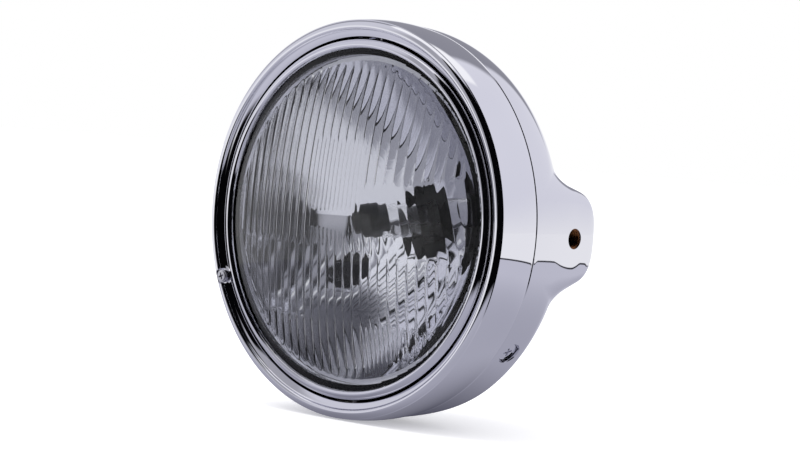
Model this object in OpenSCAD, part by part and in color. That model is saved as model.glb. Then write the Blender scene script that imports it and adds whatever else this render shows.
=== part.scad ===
// Round motorcycle headlight with a chromed bowl, side mounts and an aimable light unit.
// The lamp looks along -Y, +X is the right-hand side seen from in front, +Z is up.
// Inside the modules Y counts from the crest of the rim's bead; the whole lamp is then
// moved back so that the middle of its box lies at the origin.

/* [Trim ring] */
// Radius of the shell at the seam
shell_r = 98.5; // [96:0.5:102]
// How far the skirt of the trim ring bulges past the seam radius
skirt_bow = 1.1; // [0.5:0.1:2]
// Depth of the trim ring, from the bead's crest to the seam
rim_depth = 26.8; // [26:0.1:30]
// Sheet thickness of the trim ring
rim_wall = 1.4; // [1.2:0.1:1.6]
// Width of the rim's front, from the seam radius in to the opening that the light unit moves in
rim_land = 7.9; // [7.6:0.1:8.2]
// How far the bead's crest lies inside the seam radius
bead_inset = 2.9; // [2.7:0.1:3.2]

/* [Shell] */
// Wall thickness of the shell
shell_wall = 3; // [2.5:0.1:3.4]
// Profile radius of the bowl's shoulder
shoulder_r = 43; // [41:0.5:46]
// Profile radius of the bowl's long flank
flank_r = 320; // [300:10:360]
// Profile radius of the bowl's nose
nose_r = 30; // [26:1:34]
// Slope where the shoulder turns into the flank
shoulder_a = 43; // [41:1:45]
// Slope where the flank turns into the nose
nose_a = 55; // [53:1:57]
// Length of the lip that the trim ring slides over
lip_len = 2; // [1.5:0.1:2.4]

/* [Side mounts] */
// Distance from the bead's crest to the axis of the side mounts
mount_y = 56.3; // [55:0.1:58]
// Half height of the ears
ear_half = 22; // [20:0.5:24]
// How far the ears reach behind the mount axis
ear_back = 18.7; // [17:0.1:21]
// Radius of the rounded corner between an ear's side and its back
ear_round = 12; // [9:0.5:14]
// Corner radius of an ear's outline
ear_corner = 18; // [15:0.5:19]
// Radius of the hollow blend between ear and bowl
ear_flare = 17; // [12:0.5:20]
// Radius of the tapped hole, wall to axis
tap_r = 4.25; // [4.2:0.05:5.2]
// Outer radius of the brass insert
insert_r = 7.5; // [7:0.1:8.5]
// Length of the brass insert
insert_len = 13; // [11:0.5:14]
// Thickness of the shell in front of the insert
insert_cover = 1.4; // [1.2:0.1:2]

/* [Lens] */
// Width of what frames the glass, from the rim's opening in to the retaining ring's lip
glass_inset = 6.2; // [5.8:0.1:6.6]
// Height of the dome of the glass above the retaining ring's lip
dome_h = 13.5; // [11:0.5:15]
// Thickness of the glass
glass_t = 4; // [3:0.1:5]
// Width of the plain band between the fluted field and the retaining ring's lip
plain_band = 5.8; // [5:0.1:8]
// Width of one wide flute
flute_w = 5.5; // [5:0.1:6.5]
// How far the wide flutes stand out from the back of the glass
flute_rise = 0.6; // [0.4:0.05:0.9]

/* [Light unit] */
// Running gap between the retaining ring and the mouth of the trim ring
aim_gap = 1.1; // [1:0.05:1.2]
// Depth of the reflector, from its mouth to the vertex of its mirror
mirror_deep = 51.352; // [49:0.5:53]
// How far the reflector's mouth lies inside the retaining ring's lip
mirror_inset = 5.9; // [5.4:0.1:7]
// Sheet thickness of the reflector
mirror_wall = 1.2; // [0.8:0.1:1.4]
// Radius of the main bulb's opening in the reflector
bulb_hole_r = 18.5; // [18:0.1:19.5]
// Radius of the main bulb's glass
bulb_r = 8.5; // [8:0.1:9]
// Length of the main bulb's glass in front of its flange
bulb_len = 56; // [50:1:58]
// Distance of the parking lamp from the lamp's axis
park_d = 46.2; // [44:0.1:50]
// Direction of the parking lamp, in degrees from the lamp's right-hand side
park_a = 218.9; // [210:0.1:230]
// Radius of the parking lamp's opening
park_r = 8; // [7:0.1:9]

/* [Fittings] */
// Distance from the bead's crest to the axis of the two shell screws
screw_y = 36; // [35:0.1:37.5]
// Angle of the shell screws below the horizontal
screw_a = 36; // [34:1:40]
// Shank radius of the shell screws
screw_r = 2.5; // [2:0.1:3]
// Direction of the aiming screw, in degrees from the lamp's right-hand side
aim_a = 202.9; // [200:0.1:206]
// Distance of the aiming screw outside the rim's opening
aim_out = 3.4; // [3:0.1:3.8]
// Shank radius of the aiming screw
aim_r = 2; // [1.5:0.1:2.2]
// Distance from the bead's crest to the hinge of the light unit
hinge_y = 16; // [15.5:0.1:17]
// Shank radius of the hinge pins
pin_r = 2; // [1.5:0.1:2.2]
// Bore radius of the cable grommet
cable_r = 5; // [4:0.1:6]

/* [Hidden] */
$fn = 96;
// Small lengths shared by several pieces
run = 0.1;
slide = 0.3;
skin = 0.15;
e = 0.5;
sheet = 1.5;

// Trim ring
mouth_r = shell_r - rim_land;
bead_r = shell_r - bead_inset;
rim_r = shell_r + skirt_bow;
skirt_r = (rim_depth * rim_depth / 4 + skirt_bow * skirt_bow) / (2 * skirt_bow);
bead_out = 3;
bead_in = 1.6;
bead_top = 2.9;
mouth_y = 3.5;
mouth_back = 6;

// Light unit, a stack between the retaining ring's lip and its rolled edge
glass_r = mouth_r - glass_inset;
mirror_r = glass_r - mirror_inset;
focal = mirror_r * mirror_r / (4 * mirror_deep);
ring_r = mouth_r - aim_gap;
ring_wall = 1.5;
stack_r = ring_r - ring_wall;
lip_y = 3;
flange_y = lip_y + 0.2;
seal_y = flange_y + 4.8;
mirror_y = seal_y + 1.5;
carrier_y = mirror_y + mirror_wall;
roll_y = carrier_y + sheet;
roll_t = 1.1;
flange_r = stack_r - 0.8;

// Glass
dome_r = (glass_r * glass_r + dome_h * dome_h) / (2 * dome_h);
dome_c = lip_y - dome_h + dome_r;
apex_y = lip_y - dome_h;
back_r = dome_r - glass_t;
flute_field_r = glass_r - plain_band;
ridge = 0.1;
flute_n = floor(flute_field_r / flute_w);
// Edges of the lens pattern: its narrow block, plain window, side parts and foot
block_x = [-4 * flute_w, 2.5 * flute_w];
block_z = [5.5, 39.6];
window_x = [-3.5 * flute_w, 1.5 * flute_w];
window_z = [-6.5, 5.5];
left_z = -12.5;
right_z = [14.6, 26];
foot_z = -50.5;

// Reflector and bulbs
vertex_y = mirror_y + mirror_deep;
neck_wall = 1.5;
neck_y = mirror_depth(bulb_hole_r);
seat_y = neck_y + 6;
park_seat_y = mirror_depth(park_d) + 8;
bulb_flange_t = 1.2;
cap_y = seat_y + bulb_flange_t;

// Fittings
mount_ring_y = 7.5;
mount_ring_r = mouth_r + 1.8;
strap_x = mouth_r - 0.2;
strap_half = 6;
pad_x = strap_x + sheet;
recess_r = 6;
head_r = 4.2;
nut_t = 4;
tab_x = stack_r - 3.8;
aim_tab_y = hinge_y + 1;
nut_flange = 1;
nut_r = 3.2;
dish_y = 2.4;
dish_r = 4;
dish_back = dish_y + 0.4 + rim_wall;
clip_r = aim_r + 1.2;
aim_d = mouth_r + aim_out;
spring_wire = 0.5;

// Bowl: three arcs that run into each other, and their rear end
c1 = [shell_r - shoulder_r, rim_depth];
c2 = c1 - (flank_r - shoulder_r) * [cos(shoulder_a), sin(shoulder_a)];
c3 = c2 + (flank_r - nose_r) * [cos(nose_a), sin(nose_a)];
back_y = c3.y + nose_r;
grommet_r = cable_r + 8;
grommet_lip = 2.2;

// Middle of the lamp's box, which becomes the origin
mid_y = (apex_y + back_y + grommet_lip) / 2;

function arc(c, r, a0, a1, n) =
    [for (i = [0 : n]) c + r * [cos(a0 + (a1 - a0) * i / n), sin(a0 + (a1 - a0) * i / n)]];

// Profile of the bowl, d under its outer surface
function bowl(d) = concat(
    arc(c1, shoulder_r - d, 0, shoulder_a, 14),
    arc(c2, flank_r - d, shoulder_a + 1, nose_a, 8),
    arc(c3, nose_r - d, nose_a + 5, 90, 7));

// Radius of the skirt at depth y, d under its outer surface
function skirt(y, d = 0) =
    rim_r - skirt_r + sqrt(pow(skirt_r - d, 2) - pow(y - rim_depth / 2, 2));

// Depth of the reflector's mirror at radius r
function mirror_depth(r) = vertex_y - r * r / (4 * focal);

// Outline of the reflector from its neck to its mouth, d behind the mirror
function mirror_line(r0, r1, d) =
    [for (i = [0 : 20]) let (r = r0 + (r1 - r0) * i / 20)
        [r, mirror_depth(r) + d * sqrt(1 + pow(r / (2 * focal), 2))]];

// Moves the lamp so that the middle of its box is the origin
module placed()
    translate([0, -mid_y, 0]) children();

// Solid of revolution about the lamp's axis from points [radius, depth]
module turned(points)
    rotate([-90, 0, 0]) rotate_extrude() polygon(points);

// Flat ring between two radii, from depth y on
module washer(r_in, r_out, y, t)
    turned([[r_in, y], [r_out, y], [r_out, y + t], [r_in, y + t]]);

// Rod along the lamp's axis at [x, z]
module rod(r, y, len, at = [0, 0])
    translate([at.x, y, at.y]) rotate([-90, 0, 0]) cylinder(r = r, h = len);

// Rod along X
module pin(r, x, len, y = 0)
    translate([x, y, 0]) rotate([0, 90, 0]) cylinder(r = r, h = len);

// Box from x0 to x1 and y0 to y1, half as high as its height to each side
module slab(x0, x1, y0, y1, half)
    translate([x0, y0, -half]) cube([x1 - x0, y1 - y0, 2 * half]);

// Turns what is built on the right-hand side to angle a round the lamp's axis
module at_angle(a)
    rotate([0, -a, 0]) children();

module both_sides() {
    children();
    mirror([1, 0, 0]) children();
}

// Bowl, ears, screw seats and cable hole
module shell() {
    color([0.80, 0.80, 0.84]) placed() difference() {
        union() {
            turned(concat([[0, rim_depth]], bowl(0), [[0, back_y]]));
            washer(shell_r - 6, lip_out_r(), rim_depth - lip_len, lip_len + e);
            both_sides() ear();
        }
        turned(concat([[0, rim_depth - e]], [[bowl(shell_wall)[0].x, rim_depth - e]],
            bowl(shell_wall), [[0, back_y - shell_wall]]));
        rod(lip_out_r() - 2.5, 0, rim_depth + e);
        both_sides() {
            pin(insert_r, 0, shell_r - insert_cover, mount_y);
            pin(tap_r + 0.8, 0, shell_r + e, mount_y);
        }
        for (a = [-screw_a, 180 + screw_a])
            at_angle(a) {
                pin(recess_r, pad_x + 3, shell_r, screw_y);
                pin(screw_r + 0.3, 0, shell_r, screw_y);
            }
        rod(grommet_r - 3.5, back_y - 2 * shell_wall, 4 * shell_wall);
    }
    color([0.80, 0.80, 0.84]) placed() for (a = [-screw_a, 180 + screw_a])
        at_angle(a) difference() {
            intersection() {
                pin(recess_r + 2, pad_x, 6, screw_y);
                turned(concat([[0, rim_depth]], bowl(shell_wall / 2), [[0, back_y]]));
            }
            pin(recess_r, pad_x + 3, shell_r, screw_y);
            pin(screw_r + 0.3, 0, shell_r, screw_y);
        }
}

// Radius of the lip that the trim ring slides over
function lip_out_r() = skirt(rim_depth, rim_wall) - slide;

// Ear: a drum as wide as the shell, cut to the ear's outline
module ear() {
    y1 = mount_y + ear_back;
    f = [rim_depth + 4 + ear_flare, ear_half + ear_flare];
    half = concat(
        [[rim_depth, f.y]],
        arc(f, ear_flare, 180, 270, 10),
        arc([y1 - ear_corner, ear_half - ear_corner], ear_corner, 90, 0, 10));
    intersection() {
        turned(concat([[shell_r / 2, rim_depth], [shell_r, rim_depth]],
            arc([shell_r - ear_round, y1 - ear_round], ear_round, 0, 90, 10),
            [[shell_r / 2, y1]]));
        translate([shell_r / 2, 0, 0]) rotate([90, 0, 90]) linear_extrude(shell_r)
            polygon(concat(half, [for (i = [len(half) - 1 : -1 : 0]) [half[i].x, -half[i].y]]));
    }
}

// Rolled sheet: bead, skirt and the flange down to the mouth
module trim_ring() {
    n = 10;
    y0 = bead_out - bead_out * sin(20);
    outer = concat(
        [[mouth_r, mouth_back], [mouth_r, mouth_y], [mouth_r + 0.6, bead_top]],
        [[bead_r - 2.9, 2.3], [bead_r - 2, 1.9]],
        arc([bead_r, bead_in], bead_in, 200, 270, 5),
        arc([bead_r, bead_out], bead_out, -80, -20, 6),
        [for (i = [0 : n]) let (y = y0 + (rim_depth - y0) * i / n) [skirt(y), y]]);
    y1 = bead_out + rim_wall;
    inner = concat(
        [for (i = [n : -1 : 0]) let (y = y1 + (rim_depth - y1) * i / n) [skirt(y, rim_wall), y]],
        arc([bead_r, bead_out], bead_out - rim_wall, -20, -90, 4),
        [[bead_r - 1.4, 3.3], [mouth_r + rim_wall, 4.3], [mouth_r + rim_wall, mouth_back]]);
    color([0.82, 0.82, 0.86]) placed() difference() {
        union() {
            turned(concat(outer, inner));
            difference() {
                at_angle(aim_a) rod(dish_r + 1.2, dish_y + 0.4, rim_wall, [aim_d, 0]);
                rod(mouth_r, 0, rim_depth);
            }
        }
        at_angle(aim_a) rod(dish_r, -e, dish_y + e, [aim_d, 0]);
        at_angle(aim_a) rod(clip_r + slide, dish_back, mouth_back, [aim_d, 0]);
        at_angle(aim_a) rod(aim_r + run, -e, 3 * dish_y, [aim_d, 0]);
    }
}

// Stamped ring welded into the trim ring, with an ear at the top and bottom for the hinge
module mount_ring() {
    color([0.62, 0.63, 0.60]) placed() difference() {
        union() {
            translate([0, mount_ring_y, 0]) rotate([-90, 0, 0]) linear_extrude(sheet) difference() {
                circle(skirt(mount_ring_y + sheet / 2, rim_wall) + skin);
                difference() {
                    circle(mount_ring_r);
                    for (a = [90, 270, aim_a])
                        rotate(-a) translate([mouth_r + slide, -7]) square([10, 14]);
                }
            }
            for (a = [90, 270])
                at_angle(a) slab(mouth_r, mouth_r + sheet, mount_ring_y + sheet / 2, hinge_y + 5, 6.5);
        }
        for (a = [90, 270])
            at_angle(a) pin(pin_r + run / 2, mouth_r - e, 4, hinge_y);
        at_angle(aim_a) rod(aim_r + 0.4, 0, 2 * mount_ring_y, [aim_d, 0]);
    }
}

// Strap from the mount ring back to a shell screw
module rim_bracket(a) {
    y0 = mount_ring_y + sheet;
    color([0.62, 0.63, 0.60]) placed() at_angle(a) difference() {
        union() {
            slab(strap_x, pad_x, y0, screw_y + 6, strap_half);
            slab(strap_x, mount_ring_r + 3.6, y0, y0 + sheet, strap_half);
        }
        pin(screw_r + 0.3, 0, shell_r, screw_y);
    }
}

module rim_bracket_left() rim_bracket(180 + screw_a);

module rim_bracket_right() rim_bracket(-screw_a);

// Square weld nut on a strap
module rim_nut(a) {
    color([0.70, 0.68, 0.58]) placed() at_angle(a) difference() {
        slab(strap_x - nut_t, strap_x, screw_y - 4, screw_y + 4, 4);
        pin(screw_r + run / 2, 0, shell_r, screw_y);
    }
}

module rim_nut_left() rim_nut(180 + screw_a);

module rim_nut_right() rim_nut(-screw_a);

// Cross-head screw with a low domed head, standing in its recess
module shell_screw(a) {
    x0 = pad_x + 3;
    color([0.78, 0.78, 0.82]) placed() at_angle(a) difference() {
        union() {
            pin(screw_r, strap_x - nut_t - 1, x0 - strap_x + nut_t + 1 + e, screw_y);
            pin(head_r, x0, 1, screw_y);
            translate([x0 + 1, screw_y, 0]) rotate([0, 90, 0])
                rotate_extrude() polygon(concat([[0, 0]], [for (i = [0 : 5])
                    [head_r * cos(i * 18), 1.4 * sin(i * 18)]]));
        }
        translate([x0 + 0.8, screw_y, 0]) for (t = [0, 90])
            rotate([t, 0, 0]) translate([0, -0.5, -2.2]) cube([4, 1, 4.4]);
    }
}

module shell_screw_left() shell_screw(180 + screw_a);

module shell_screw_right() shell_screw(-screw_a);

// Tapped brass insert behind the ear's skin
module mount_insert() {
    x1 = shell_r - insert_cover;
    color([0.70, 0.55, 0.28]) placed() difference() {
        pin(insert_r - run / 2, x1 - insert_len, insert_len, mount_y);
        pin(tap_r, 0, shell_r, mount_y);
    }
}

module mount_insert_left() mirror([1, 0, 0]) mount_insert();

module mount_insert_right() mount_insert();

// Shouldered pin that the light unit turns on
module hinge_pin(a) {
    t = sheet + 2 * run;
    color([0.66, 0.66, 0.64]) placed() at_angle(a) union() {
        pin(pin_r * 1.7, tab_x - 1.2 - run, 1.2, hinge_y);
        pin(pin_r, tab_x - 1 - run, mouth_r + sheet - tab_x + 1.5, hinge_y);
        pin(pin_r + 0.4, tab_x - run + t, mouth_r - tab_x - t + run, hinge_y);
        pin(pin_r * 1.6, mouth_r + sheet, 1.2, hinge_y);
    }
}

module hinge_pin_top() hinge_pin(90);

module hinge_pin_bottom() hinge_pin(270);

// Rubber sleeve in the bowl's back, with a groove that grips the wall
module cable_grommet() {
    y0 = back_y - shell_wall;
    g = grommet_r - 3.5 - run;
    color([0.06, 0.06, 0.06]) placed() turned([
        [cable_r, y0 - 3], [g + 2, y0 - 3], [g + 2.6, y0], [g, y0], [g, back_y],
        [grommet_r, back_y], [grommet_r - 1, back_y + grommet_lip], [cable_r, back_y + grommet_lip]]);
}

// Coil spring between the mount ring and the aiming nut, as a stack of rings on a slope
module aim_spring() {
    y0 = mount_ring_y + sheet;
    y1 = aim_tab_y - nut_flange;
    turns = 5;
    r = aim_r + 0.9;
    step = (y1 - y0 - 2 * spring_wire) / turns;
    color([0.55, 0.55, 0.55]) placed() at_angle(aim_a) translate([aim_d, y0 + spring_wire, 0])
        rotate([-90, 0, 0]) for (i = [0 : turns])
            translate([0, 0, i * step]) rotate_extrude() translate([r, 0]) circle(spring_wire, $fn = 16);
}

// Aiming screw with a cross-head in the dish of the rim
module aim_screw() {
    color([0.78, 0.78, 0.80]) placed() at_angle(aim_a) difference() {
        union() {
            rod(dish_r - 0.8, 0.6, dish_y - 0.6 - run, [aim_d, 0]);
            rod(dish_r - 1.4, 0.1, dish_y - 0.6, [aim_d, 0]);
            rod(aim_r, dish_y - e, rim_depth - lip_len - dish_y, [aim_d, 0]);
        }
        translate([aim_d, 0, 0]) for (t = [0, 90])
            rotate([0, t, 0]) translate([-1.8, -e, -0.4]) cube([3.6, 1.9, 0.8]);
    }
}

// Retaining clip that keeps the aiming screw in the rim
module aim_clip() {
    color([0.35, 0.35, 0.36]) placed() at_angle(aim_a) difference() {
        rod(clip_r, dish_back + run, 0.8, [aim_d, 0]);
        rod(aim_r, 0, 20, [aim_d, 0]);
        translate([aim_d, 0, -1.2]) cube([6, 20, 2.4]);
    }
}

// Nylon nut snapped into the tab of the carrier
module aim_nut() {
    y0 = aim_tab_y - nut_flange;
    color([0.90, 0.90, 0.86]) placed() at_angle(aim_a) difference() {
        union() {
            rod(nut_r + 0.7, y0, nut_flange, [aim_d, 0]);
            rod(nut_r, aim_tab_y - e, sheet + 2 + e, [aim_d, 0]);
        }
        rod(aim_r + slide, 0, 40, [aim_d, 0]);
    }
}

// Chromed ring that holds the glass: bead, wall and rolled edge
module retaining_ring() {
    color([0.82, 0.82, 0.86]) placed() turned([
        [glass_r + 0.1, lip_y + 0.1], [glass_r + 0.3, lip_y - 0.6], [glass_r + 0.9, lip_y - 1.6],
        [glass_r + 1.8, lip_y - 2.1], [glass_r + 2.6, lip_y - 2], [ring_r - 1.3, lip_y - 1.2],
        [ring_r - 0.4, lip_y - 0.3], [ring_r, lip_y + 0.8],
        [ring_r, roll_y + roll_t], [stack_r - 1.8, roll_y + roll_t], [stack_r - 1.8, roll_y],
        [stack_r, roll_y], [stack_r, flange_y], [glass_r + 0.1, flange_y]]);
}

// Domed glass with a flange, wide flutes pressed into its back
module lens() {
    color([0.85, 0.88, 0.90, 0.45]) placed() difference() {
        union() {
            intersection() {
                translate([0, dome_c, 0]) rotate([-90, 0, 0]) sphere(r = dome_r, $fn = 200);
                rod(glass_r, apex_y - 1, seal_y - apex_y + 1);
            }
            washer(glass_r - 3, flange_r, flange_y, seal_y - flange_y);
        }
        difference() {
            intersection() {
                translate([0, dome_c, 0]) rotate([-90, 0, 0]) sphere(r = back_r, $fn = 200);
                rod(glass_r - 3, apex_y - 1, seal_y - apex_y + 1 + e);
            }
            flutes(flute_w, flute_rise) wide_zone();
            flutes(flute_w / 2, flute_rise * 0.45) narrow_zone();
        }
    }
}

// Depth of the back of the glass behind a flute's middle, as a section across the flutes
function flute_line(w, rise) =
    [for (i = [-4 * flute_n * flute_w / w : 4 * flute_n * flute_w / w]) let (u = i % 4)
        [sqrt(back_r * back_r - pow(i * w / 4, 2)) - ridge
            - rise * (u == 0 ? 0 : abs(u) == 2 ? 1 : 0.75), i * w / 4]];

// Flutes of one width, bent along the dome, where the pattern has them
module flutes(w, rise) {
    line = flute_line(w, rise);
    reach = line[len(line) - 1].y;
    intersection() {
        translate([0, dome_c, 0]) rotate([0, 90, 0]) rotate_extrude($fn = 200)
            polygon(concat(line, [[back_r + 1, reach], [back_r + 1, -reach]]));
        translate([0, seal_y, 0]) rotate([90, 0, 0]) linear_extrude(seal_y - apex_y) children();
    }
}

// Where the glass has wide flutes: its upper part beside the block, and its foot
module wide_zone() difference() {
    circle(flute_field_r);
    translate([block_x[0], block_z[0]]) square([block_x[1] - block_x[0], block_z[1] - block_z[0]]);
    translate([window_x[0], left_z]) square([window_x[1] - window_x[0], window_z[1] - left_z]);
    translate([-glass_r, foot_z]) square([2 * glass_r, left_z - foot_z]);
    polygon([[window_x[1] - e, left_z - e], [glass_r, left_z - e], [glass_r, right_z[1]],
        [window_x[1] - e, right_z[0]]]);
}

// Where the glass has narrow flutes: the block above its plain window and a strip below it
module narrow_zone() {
    translate([block_x[0], block_z[0]]) square([block_x[1] - block_x[0], block_z[1] - block_z[0]]);
    translate([window_x[0], left_z]) square([window_x[1] - window_x[0] - flute_w / 2, window_z[0] - left_z]);
}

// Flat rubber ring between the glass and the reflector
module lens_seal() {
    color([0.05, 0.05, 0.05]) placed()
        washer(glass_r - 3, flange_r, seal_y, mirror_y - seal_y);
}

// Parabolic mirror with its flange, the neck for the main bulb and the parking lamp's socket
module reflector() {
    tilt = [park_d * cos(park_a), park_d * sin(park_a)];
    color([0.86, 0.86, 0.88]) placed() difference() {
        union() {
            turned(concat(
                mirror_line(bulb_hole_r, mirror_r, 0),
                [[flange_r, mirror_y], [flange_r, carrier_y], [mirror_r + 0.6, carrier_y]],
                [for (i = [20 : -1 : 0]) mirror_line(bulb_hole_r, mirror_r, mirror_wall)[i]]));
            washer(bulb_hole_r, bulb_hole_r + neck_wall, neck_y, seat_y - neck_y);
            washer(bulb_hole_r, bulb_hole_r + 4, seat_y - 1.2, 1.2);
            rod(park_r + neck_wall, mirror_depth(park_d + park_r), park_seat_y
                - mirror_depth(park_d + park_r), tilt);
        }
        rod(park_r, 0, 100, tilt);
        intersection() {
            rod(park_r + 3, 0, 100, tilt);
            turned(concat([[0, 0]], [[mirror_r, 0]],
                [for (i = [20 : -1 : 0]) mirror_line(bulb_hole_r, mirror_r, 0)[i]], [[0, neck_y]]));
        }
    }
}

// Steel ring behind the reflector, with the hinge tabs and the tab for the aiming nut
module unit_carrier() {
    color([0.62, 0.63, 0.60]) placed() difference() {
        union() {
            washer(mirror_r + 2, stack_r - 0.2, carrier_y, sheet);
            for (a = [90, 270])
                at_angle(a) slab(tab_x, tab_x + sheet, carrier_y, hinge_y + 5, 7);
            at_angle(aim_a) {
                slab(tab_x - 0.2, tab_x + sheet - 0.2, carrier_y, aim_tab_y + sheet, 6);
                slab(tab_x - 0.2, aim_d + nut_r, aim_tab_y, aim_tab_y + sheet, 6);
            }
        }
        for (a = [90, 270])
            at_angle(a) pin(pin_r + run, tab_x - e, sheet + 2 * e, hinge_y);
        at_angle(aim_a) rod(nut_r + run / 2, carrier_y + sheet, 20, [aim_d, 0]);
    }
}

// Metal cap of the main bulb: collar, three-lobed flange, barrel and blades
module bulb_base() {
    color([0.72, 0.72, 0.70]) placed() {
        difference() {
            union() {
                rod(bulb_r + 2, seat_y - 6, 6 + e);
                rod(bulb_hole_r + 1, seat_y, bulb_flange_t);
                rod(bulb_r + 2.5, cap_y - e, 11 + e);
            }
            rod(bulb_r + run, seat_y - 6 - e, 4 + e);
        }
        for (a = [90, 180, 0])
            at_angle(a) slab(6, 6.8, cap_y + 10, cap_y + 20, 4);
    }
}

// Clear glass of the main bulb
module bulb_glass() {
    y0 = seat_y - bulb_len;
    color([0.90, 0.92, 0.95, 0.4]) placed() turned(concat(
        arc([0, y0 + bulb_r], bulb_r, -90, 0, 8), [[bulb_r, seat_y - 2], [0, seat_y - 2]],
        [[0, seat_y - 4], [bulb_r - 1, seat_y - 4]],
        arc([0, y0 + bulb_r], bulb_r - 1, 0, -90, 8)));
}

// Two filaments, the dipped-beam shield and their posts inside the main bulb
module bulb_filaments() {
    focus_y = vertex_y - focal;
    color([0.55, 0.55, 0.56]) placed() {
        for (x = [-3, 0, 3])
            rod(0.5, focus_y - 4, seat_y - 4 - focus_y + 4, [x, -1]);
        for (y = [focus_y - 4, focus_y + 4])
            translate([-3.2, y, -1]) rotate([0, 90, 0]) cylinder(r = 0.7, h = 6.4);
        intersection() {
            difference() {
                rod(4.2, focus_y - 8, 8);
                rod(3.7, focus_y - 8 - e, 8 + 2 * e);
            }
            translate([-6, focus_y - 10, -6]) cube([12, 12, 5.2]);
        }
        translate([-4.1, focus_y - 4.5, -1.5]) cube([1.4, 1, 1]);
        translate([2.7, focus_y - 4.5, -1.5]) cube([1.4, 1, 1]);
    }
}

// Wire spring that presses the main bulb on its seat
module bulb_clip() {
    w = 0.7;
    color([0.60, 0.60, 0.60]) placed() translate([0, cap_y + w, 0]) rotate([-90, 0, 0]) {
        rotate_extrude() translate([bulb_hole_r - 3, 0]) circle(w, $fn = 20);
        for (s = [-1, 1])
            translate([s * (bulb_hole_r - 3), 0, 0]) rotate([0, s * 90, 0]) cylinder(r = w, h = 5.4);
    }
}

// Rubber boot from the reflector's neck to the bulb's blades
module bulb_boot() {
    t = 1.6;
    r0 = bulb_hole_r + 4 + run;
    r1 = bulb_r + 2.5 + run;
    color([0.07, 0.07, 0.07]) placed() turned([
        [r0, seat_y - 4], [r0 + t, seat_y - 4], [r0 + t, seat_y + 4], [r1 + t, cap_y + 8],
        [r1 + t, cap_y + 14], [r1, cap_y + 14], [r1, cap_y + 8 - t], [r0, seat_y + 4 - t / 2]]);
}

// Small push-in bulb of the parking lamp
module parking_bulb() {
    r = park_r * 0.6;
    y0 = park_seat_y - 21;
    color([0.90, 0.92, 0.95, 0.5]) placed()
        translate([park_d * cos(park_a), 0, park_d * sin(park_a)])
            turned(concat(arc([0, y0 + r], r, -90, 0, 8), [[r, park_seat_y - 1], [0, park_seat_y - 1]]));
}

// Rubber holder of the parking bulb
module parking_holder() {
    r = park_r * 0.6;
    color([0.10, 0.10, 0.10]) placed()
        translate([park_d * cos(park_a), 0, park_d * sin(park_a)])
            turned([
                [r + run / 2, park_seat_y - 6], [park_r - run, park_seat_y - 6], [park_r - run, park_seat_y],
                [park_r + neck_wall - run, park_seat_y], [park_r + neck_wall - run, park_seat_y + 2],
                [park_r - 1, park_seat_y + 2],
                [park_r - 1.4, park_seat_y + 9], [0, park_seat_y + 9],
                [0, park_seat_y - 1], [r + run / 2, park_seat_y - 1]]);
}

shell();
trim_ring();
mount_ring();
rim_bracket_left();
rim_bracket_right();
rim_nut_left();
rim_nut_right();
shell_screw_left();
shell_screw_right();
mount_insert_left();
mount_insert_right();
hinge_pin_top();
hinge_pin_bottom();
cable_grommet();
aim_spring();
aim_screw();
aim_clip();
aim_nut();
retaining_ring();
lens();
lens_seal();
reflector();
unit_carrier();
bulb_base();
bulb_glass();
bulb_filaments();
bulb_clip();
bulb_boot();
parking_bulb();
parking_holder();
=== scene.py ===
"""Round motorcycle headlight: looks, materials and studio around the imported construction.

The lamp looks along -Y, +X is its right-hand side seen from in front and +Z is up.
The classes below keep their sizes in millimetres in the workshop frame of the lamp, in which
depth counts from the crest of the rim's bead; Frame.point and Frame.array turn them into metres.
"""
import logging
import math
from dataclasses import dataclass, field
from enum import Enum
from typing import Optional, Sequence

import bpy
import numpy as np
from mathutils import Matrix, Vector


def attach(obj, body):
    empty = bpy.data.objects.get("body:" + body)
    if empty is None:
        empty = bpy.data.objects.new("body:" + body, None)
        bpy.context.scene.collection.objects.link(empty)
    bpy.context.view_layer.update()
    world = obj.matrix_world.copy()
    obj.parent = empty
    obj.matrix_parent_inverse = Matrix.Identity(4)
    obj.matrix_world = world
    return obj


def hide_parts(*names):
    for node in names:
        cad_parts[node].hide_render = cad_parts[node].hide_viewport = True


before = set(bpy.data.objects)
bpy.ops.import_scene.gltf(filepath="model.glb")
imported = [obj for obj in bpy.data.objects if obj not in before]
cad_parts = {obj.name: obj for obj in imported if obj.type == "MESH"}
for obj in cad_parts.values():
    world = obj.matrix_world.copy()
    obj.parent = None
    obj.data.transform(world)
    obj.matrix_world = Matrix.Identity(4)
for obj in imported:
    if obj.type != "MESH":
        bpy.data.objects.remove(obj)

logging.basicConfig(level=logging.INFO, format="%(message)s")
LOG = logging.getLogger("headlight")
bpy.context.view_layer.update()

Point = tuple[float, float]


class Frame:
    """Turns the lamp's own millimetres into the metres of the shared frame."""

    MM = 0.001
    MID = 48.5703

    @classmethod
    def point(cls, x: float, y: float, z: float) -> Vector:
        """The point at x, depth y and height z, in metres."""
        return Vector((x * cls.MM, (y - cls.MID) * cls.MM, z * cls.MM))

    @classmethod
    def spoke(cls, r: float, angle: float, y: float) -> Vector:
        """The point at a radius, an angle in degrees and a depth, in metres."""
        turn = math.radians(angle)
        return cls.point(r * math.cos(turn), y, r * math.sin(turn))

    @classmethod
    def array(cls, points: np.ndarray) -> np.ndarray:
        """Rows of x, depth and height in millimetres as rows in metres."""
        return (points - np.array([0.0, cls.MID, 0.0])) * cls.MM

    @classmethod
    def back(cls, points: np.ndarray) -> np.ndarray:
        """Rows in metres as rows of x, depth and height in millimetres."""
        return points / cls.MM + np.array([0.0, cls.MID, 0.0])


class Body(Enum):
    """The bodies that new pieces ride on; the aiming screw keeps its own."""

    HOUSING = "housing"
    LIGHT = "light_unit"


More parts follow.
